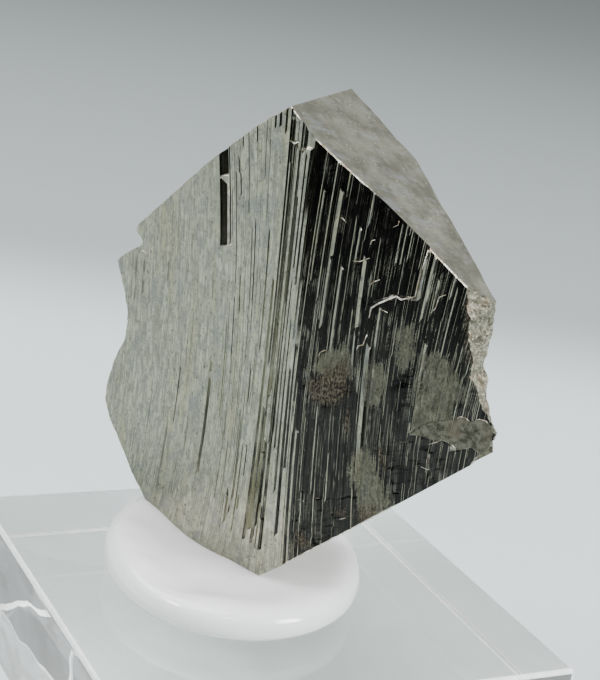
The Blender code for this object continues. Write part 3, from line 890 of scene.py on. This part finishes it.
# Crisp rims of growth layers, too thin for the grid of the front: half width and the
# points (across, height) that each runs through
rims = {
    "slot jog": (0.055, ((-7.60, -4.32), (-7.27, -4.08), (-6.80, -3.99))),
    "slot foot": (0.045, ((-7.15, -8.84), (-6.59, -8.57), (-6.16, -8.43))),
    "slot side": (0.055, ((-6.77, -4.47), (-6.49, -8.52))),
    "left notch": (0.060, ((-15.16, -11.10), (-14.81, -11.15), (-14.09, -11.24))),
    "apex layer": (0.050, ((-1.67, -0.59), (-1.30, -0.70), (-0.94, -0.53))),
    "high hook": (0.040, ((1.97, -4.99), (2.09, -4.87), (2.22, -4.82), (2.48, -5.08))),
    "high ledge": (0.035, ((3.05, -7.45), (3.46, -7.44), (4.04, -7.15))),
    "second hook": (0.040, ((4.03, -6.25), (4.06, -6.04), (4.27, -5.95))),
    "small step": (0.030, ((5.27, -5.03), (5.56, -4.84), (5.58, -4.58))),
    "third ledge": (0.035, ((4.17, -8.90), (4.35, -8.66), (4.74, -8.44))),
    "long ledge": (0.060, (
        (4.30, -11.0), (4.37, -10.33), (4.86, -9.94), (5.82, -9.37), (6.14, -9.54), (6.92, -9.27))),
    "long ledge side": (0.065, ((6.92, -9.27), (7.03, -8.33), (7.50, -6.16))),
    "right ledge": (0.035, ((7.90, -10.21), (8.21, -9.84), (8.40, -9.06), (8.77, -8.84))),
    "step below": (0.030, ((4.90, -10.42), (5.14, -10.39), (5.41, -10.51))),
    "middle step": (0.045, ((3.69, -13.16), (3.77, -12.93), (4.06, -12.81), (4.25, -12.12))),
    "left step": (0.035, ((1.37, -14.04), (1.45, -13.71), (1.78, -13.50))),
    "first lobe": (0.040, ((10.03, -16.89), (10.35, -16.68), (10.64, -16.68), (10.95, -16.90))),
    "second lobe": (0.040, ((11.19, -16.87), (11.51, -16.65), (11.90, -16.70), (12.16, -16.96))),
    "plate foot": (0.045, (
        (7.45, -18.34), (8.25, -18.36), (8.85, -18.50), (9.38, -18.36), (9.83, -18.50), (10.36, -18.91))),
    "lobe foot": (0.045, ((10.36, -18.91), (10.74, -18.79), (11.21, -18.60), (11.84, -19.09))),
    "below the lobe": (0.040, ((8.59, -18.87), (9.01, -18.64), (9.38, -18.39))),
    "low corner": (0.020, ((8.66, -19.51), (8.74, -20.61), (8.23, -20.47))),
    "low hook": (0.020, ((0.54, -24.35), (0.78, -24.02), (1.10, -24.14))),
    "low hook right": (0.020, ((1.77, -24.08), (1.85, -23.77), (2.20, -23.71), (2.58, -23.91))),
    "low bright ledge": (0.030, ((3.18, -25.14), (3.83, -24.85))),
}
rimLook = {"sunk": 0.008, "tip": 0.6, "intoLayer": 0.5}


def frontDepth(across, height):
    x, z = np.array([[across]]), np.array([[height]])
    return float((frontPlane(x) + recessDepth(x, z) * rimLook["intoLayer"])[0, 0])


def makeRims():
    curve = bpy.data.curves.new("rims", "CURVE")
    curve.dimensions = "3D"
    curve.bevel_depth = 1.0
    curve.bevel_resolution = 1
    curve.use_fill_caps = True
    for halfWidth, points in rims.values():
        spline = curve.splines.new("POLY")
        spline.points.add(len(points) - 1)
        for index, (x, z) in enumerate(points):
            spline.points[index].co = (x, frontDepth(x, z) + rimLook["sunk"], z, 1.0)
            atTip = index in (0, len(points) - 1)
            spline.points[index].radius = halfWidth * (rimLook["tip"] if atTip else 1.0)
    holder = addToScene(bpy.data.objects.new("rimCurve", curve))
    mesh = shownMesh(holder)
    bpy.data.objects.remove(holder, do_unlink=True)
    bm = bmesh.new()
    bm.from_mesh(mesh)
    bmesh.ops.remove_doubles(bm, verts=bm.verts, dist=1e-5)
    bm.transform(crystalMatrix())
    made = finishedObject(bm, "crystalLayerRims", [wornPaint()])
    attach(made, "root")


makeRims()
print("layer rims added")


# The lobed plate at the right end of the front
lobedPlate = {
    "outline": (
        (7.47, -18.31), (8.25, -18.36), (8.85, -18.50), (9.09, -18.51), (9.38, -18.36), (9.83, -18.50),
        (10.36, -18.91), (10.74, -18.79), (11.21, -18.60), (11.60, -18.75), (11.84, -19.05), (12.30, -18.40),
        (12.42, -17.60), (12.30, -17.00), (11.90, -16.70), (11.51, -16.65), (11.19, -16.87), (10.95, -16.90),
        (10.64, -16.68), (10.35, -16.68), (10.03, -16.89), (9.46, -17.07), (8.92, -17.22), (8.15, -17.59),
    ),
    "step": 0.16,
    "across": (7.5, 12.4),
    "up": (-19.0, -16.7),
    "lift": 0.035,
    "thickness": 0.30,
    "rough": ((1.3, 0.035), (4.0, 0.02)),
}


def platePaint():
    paint = Paint("lobedPlate", Metallic=1.0)
    grit = paint.speckle(2600.0, 5.0, 0.75)
    cloud = paint.speckle(700.0, 4.0, 0.6)
    colour = paint.mix(grit.between(0.36, 0.64), (0.065, 0.065, 0.048), (0.215, 0.213, 0.165))
    colour = paint.mix(cloud.between(0.52, 0.66) * 0.6, colour, (0.20, 0.17, 0.125))
    return paint.feed(Base_Color=colour, Roughness=0.5 + grit * 0.2, Normal=paint.bump(grit, 0.8, 0.05 * mm))


def makePlate():
    bm = bmesh.new()
    corners = [bm.verts.new((x, 0.0, z)) for x, z in lobedPlate["outline"]]
    bm.faces.new(corners)
    for name, axis in (("across", Vector((1.0, 0.0, 0.0))), ("up", Vector((0.0, 0.0, 1.0)))):
        start, end = lobedPlate[name]
        for index in range(1, int((end - start) / lobedPlate["step"])):
            point = axis * (start + index * lobedPlate["step"])
            bmesh.ops.bisect_plane(bm, geom=everything(bm), plane_co=point, plane_no=axis)
    top = bm.faces[:]
    below = bmesh.ops.extrude_face_region(bm, geom=top, use_keep_orig=True)
    lower = {item for item in below["geom"] if isinstance(item, bmesh.types.BMVert)}
    for vert in bm.verts:
        plane = crystal["rightSlope"] * vert.co.x
        if vert in lower:
            vert.co.y = plane + lobedPlate["thickness"]
        else:
            bumpy = sum(size * noise.noise(vert.co * scale) for scale, size in lobedPlate["rough"])
            vert.co.y = plane - lobedPlate["lift"] + bumpy
    splitWideFaces(bm)
    turnOutwards(bm)
    bm.transform(crystalMatrix())
    made = finishedObject(bm, "crystalLobedPlate", [platePaint()])
    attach(made, "root")


makePlate()
print("lobed plate added")


# The putty pat
putty = {
    "centre": (-2.25, 0.55),
    "halfLength": 10.9,
    "halfWidth": 8.95,
    "turn": math.radians(67.6),
    "low": 9.52,
    "height": 4.3,
    "waist": 1.4,
    "dip": 2.3,
    "dipCurve": 3,
    "plumpness": 0.75,
    "shoulder": 0.8,
    "sides": 160,
    "rings": 64,
    "unevenness": ((0.16, 0.35), (0.45, 0.10)),
    "rimFade": (4.0, 0.3),
}


def puttyPaint():
    paint = Paint(
        "whitePutty", Subsurface_Weight=0.8, Subsurface_Radius=(1.0, 1.0, 1.0), Subsurface_Scale=2.6 * mm,
        Coat_Weight=0.6, Coat_Roughness=0.03, IOR=1.45)
    cloud = paint.speckle(160.0, 4.0)
    specks = paint.speckle(1100.0, 1.0)
    colour = paint.mix(cloud.between(0.3, 0.7), (0.915, 0.95, 0.95), (0.955, 0.98, 0.98))
    colour = paint.mix(specks.between(0.80, 0.82), colour, (0.05, 0.045, 0.04))
    return paint.feed(
        Base_Color=colour, Roughness=0.13 + cloud * 0.10, Normal=paint.bump(cloud, 0.12, 0.1 * mm))


def makePutty():
    bm = bmesh.new()
    bmesh.ops.create_uvsphere(bm, u_segments=putty["sides"], v_segments=putty["rings"], radius=1.0)
    for vert in bm.verts:
        out = math.hypot(vert.co.x, vert.co.y)
        reach = out ** putty["plumpness"]
        level = abs(vert.co.z) ** putty["shoulder"]
        rise = level * (putty["height"] - putty["waist"]) if vert.co.z > 0.0 else -level * putty["waist"]
        dip = putty["dip"] * (1.0 - reach ** putty["dipCurve"]) * max(0.0, vert.co.z)
        scale = reach / out if out > 1e-6 else 0.0
        vert.co.x *= scale * putty["halfLength"]
        vert.co.y *= scale * putty["halfWidth"]
        vert.co.z = putty["low"] + putty["waist"] + rise - dip
        if rise > 0.0:
            bumpy = sum(size * noise.noise(vert.co * grain) for grain, size in putty["unevenness"])
            fade, least = putty["rimFade"]
            vert.co.z += bumpy * min(1.0, rise) * min(1.0, fade * (1.0 - reach) + least)
    turn = Matrix.Rotation(putty["turn"], 4, "Z")
    bm.transform(Matrix.Scale(mm, 4) @ Matrix.Translation((*putty["centre"], 0.0)) @ turn)
    made = finishedObject(bm, "puttyPat", [puttyPaint()])
    made.data.shade_smooth()
    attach(made, "root")
    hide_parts("mounting_putty")


makePutty()
print("putty shaped")


# The clear block
block = {
    "side": 32.0,
    "height": 9.5,
    "arris": 0.28,
    "cuts": 46,
    "ripple": ((0.22, 0.05), (0.6, 0.02)),
    "rippleBias": 0.6,
    "rippleFrom": 0.05,
    "rippleFade": 1.5,
}


def acrylicPaint():
    paint = Paint("clearAcrylic", Transmission_Weight=1.0, IOR=1.49)
    haze = paint.speckle(350.0, 3.0)
    scuff = paint.noise(paint.place(scale=(2400.0, 300.0, 900.0)), 3.0)
    across = paint.along(paint.place(scale=(1000.0, 1000.0, 1000.0)), 0)
    # Painted light on the left wall: it is made clearer than the rest, with a darker wavy band painted in as
    # a reflection
    leftWallPaintedLight = 1.0 - across.between(-15.8, -15.6)
    reflectionWave = paint.noise(paint.place(scale=(0.0, 110.0, 330.0)), 4.0, 0.55)
    paintedReflectionBand = reflectionWave.between(0.47, 0.49) * (1.0 - reflectionWave.between(0.57, 0.59))
    colour = paint.mix(haze.between(0.3, 0.7), (0.635, 0.645, 0.628), (0.665, 0.672, 0.655))
    colour = paint.mix(leftWallPaintedLight, colour, (0.98, 0.985, 0.98))
    colour = paint.mix(leftWallPaintedLight * paintedReflectionBand, colour, (0.60, 0.56, 0.50))
    return paint.feed(Base_Color=colour, Roughness=0.012 + scuff.between(0.55, 0.75) * 0.05)


def arrisPaint():
    paint = Paint("groundEdge", Transmission_Weight=0.1, IOR=1.49)
    chips = paint.speckle(1500.0, 4.0, 0.7)
    colour = paint.mix(chips.between(0.4, 0.6), (0.88, 0.90, 0.90), (0.99, 0.99, 0.99))
    return paint.feed(Base_Color=colour, Roughness=0.3 + chips * 0.2)


def makeBlock():
    bm = bmesh.new()
    bmesh.ops.create_cube(bm, size=1.0)
    bm.transform(Matrix.Diagonal((block["side"], block["side"], block["height"], 1.0)))
    bm.transform(Matrix.Translation((0.0, 0.0, block["height"] / 2.0)))
    bmesh.ops.bevel(
        bm, geom=bm.edges[:], offset=block["arris"], offset_type="OFFSET", segments=3, profile=0.5,
        affect="EDGES", material=-1)
    half = block["side"] / 2.0
    walls = [face for face in bm.faces if face.calc_area() > block["side"] and abs(face.normal.z) < 0.5]
    rims = list({edge for face in walls for edge in face.edges})
    bmesh.ops.subdivide_edges(bm, edges=rims, cuts=block["cuts"], use_grid_fill=True)
    for vert in bm.verts:
        edgeX, edgeY = half - abs(vert.co.x), half - abs(vert.co.y)
        inner = min(vert.co.z, block["height"] - vert.co.z, max(edgeX, edgeY)) - block["arris"]
        if inner < block["rippleFrom"]:
            continue
        bias = block["rippleBias"]
        ripple = sum(size * (noise.noise(vert.co * grain) - bias) for grain, size in block["ripple"])
        inward = min(1.0, inner / block["rippleFade"]) * min(0.0, ripple)
        if edgeX < edgeY and vert.co.x < 0.0:
            vert.co.x -= inward
        elif edgeY < edgeX and vert.co.y < 0.0:
            vert.co.y -= inward
    for face in bm.faces:
        middle = face.calc_center_median()
        inside = (half - abs(middle.x), half - abs(middle.y), min(middle.z, block["height"] - middle.z))
        face.material_index = 1 if sum(reach < block["arris"] for reach in inside) > 1 else 0
    bm.transform(Matrix.Scale(mm, 4))
    made = finishedObject(bm, "acrylicBlock", [acrylicPaint(), arrisPaint()])
    for face in made.data.polygons:
        face.use_smooth = face.normal.x < -0.1 or face.normal.y < -0.1
    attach(made, "root")
    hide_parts("acrylic_block")
    made.visible_shadow = False


makeBlock()
print("block polished")


# Studio: a pale floor that is painted darker away from the camera, soft lights, and a dark flag that only
# reflections see
studio = {
    "floorSize": 4.0,
    "floorLevel": -0.15 * mm,
    "world": (0.62, 0.65, 0.66),
    "worldStrength": 0.82,
    "flagRadius": 78.0 * mm,
    "flagFrom": math.radians(196.0),
    "flagTo": math.radians(300.0),
    "flagTop": 62.0 * mm,
    "aim": Vector((0.0, 0.0, 0.015)),
}
softboxes = (
    {"name": "overhead", "place": (-0.10, 0.12, 0.42), "size": (0.36, 0.36), "power": 2.3},
    {"name": "strip", "place": (-0.086, -0.149, 0.246), "size": (0.05, 0.012), "power": 0.12},
    {"name": "window", "place": (-0.19, 0.03, 0.23), "size": (0.06, 0.03), "power": 0.32},
    {"name": "fill", "place": (0.20, -0.26, 0.20), "size": (0.13, 0.13), "power": 2.0},
)


def floorPaint():
    paint = Paint("paleFloor", Roughness=0.7, Specular_IOR_Level=0.2)
    forward = math.atan2(-camera["back"].x, -camera["back"].y)
    away = paint.along(paint.place(turn=(0.0, 0.0, forward)), 1)
    # Painted shade: the floor darkens away from the camera, in two steps
    colour = paint.mix(away.between(0.07, 0.115), (0.64, 0.705, 0.71), (0.345, 0.38, 0.38))
    colour = paint.mix(away.between(0.12, 0.48), colour, (0.275, 0.305, 0.302))
    return paint.feed(Base_Color=colour)


def makeStudio():
    bm = bmesh.new()
    bmesh.ops.create_grid(bm, x_segments=8, y_segments=8, size=studio["floorSize"] / 2.0)
    bm.transform(Matrix.Translation((0.0, 0.0, studio["floorLevel"])))
    finishedObject(bm, "floor", [floorPaint()])
    black = (0.012, 0.012, 0.012, 1.0)
    flagPaint = Paint("darkFlag", Roughness=0.9, Specular_IOR_Level=0.0, Base_Color=black)
    bm = bmesh.new()
    bmesh.ops.create_grid(bm, x_segments=24, y_segments=1, size=0.5)
    for vert in bm.verts:
        angle = studio["flagFrom"] + (vert.co.x + 0.5) * (studio["flagTo"] - studio["flagFrom"])
        high = (vert.co.y + 0.5) * studio["flagTop"]
        outward = Vector((math.cos(angle), math.sin(angle), 0.0))
        vert.co = outward * studio["flagRadius"] + Vector((0.0, 0.0, high))
    flag = finishedObject(bm, "flag", [flagPaint.material])
    for ray in ("visible_camera", "visible_diffuse", "visible_transmission", "visible_shadow"):
        setattr(flag, ray, False)
    for box in softboxes:
        data = bpy.data.lights.new(box["name"], "AREA")
        data.shape = "RECTANGLE"
        data.size, data.size_y = box["size"]
        data.energy = box["power"]
        light = bpy.data.objects.new(box["name"], data)
        light.visible_transmission = False
        turn = (studio["aim"] - Vector(box["place"])).to_track_quat("-Z", "Y")
        light.matrix_world = Matrix.Translation(box["place"]) @ turn.to_matrix().to_4x4()
        addToScene(light)
    world = bpy.data.worlds.new("studio")
    world.use_nodes = True
    sky = world.node_tree.nodes["Background"]
    sky.inputs["Color"].default_value = (*studio["world"], 1.0)
    sky.inputs["Strength"].default_value = studio["worldStrength"]
    bpy.context.scene.world = world


makeStudio()
print("studio lit")
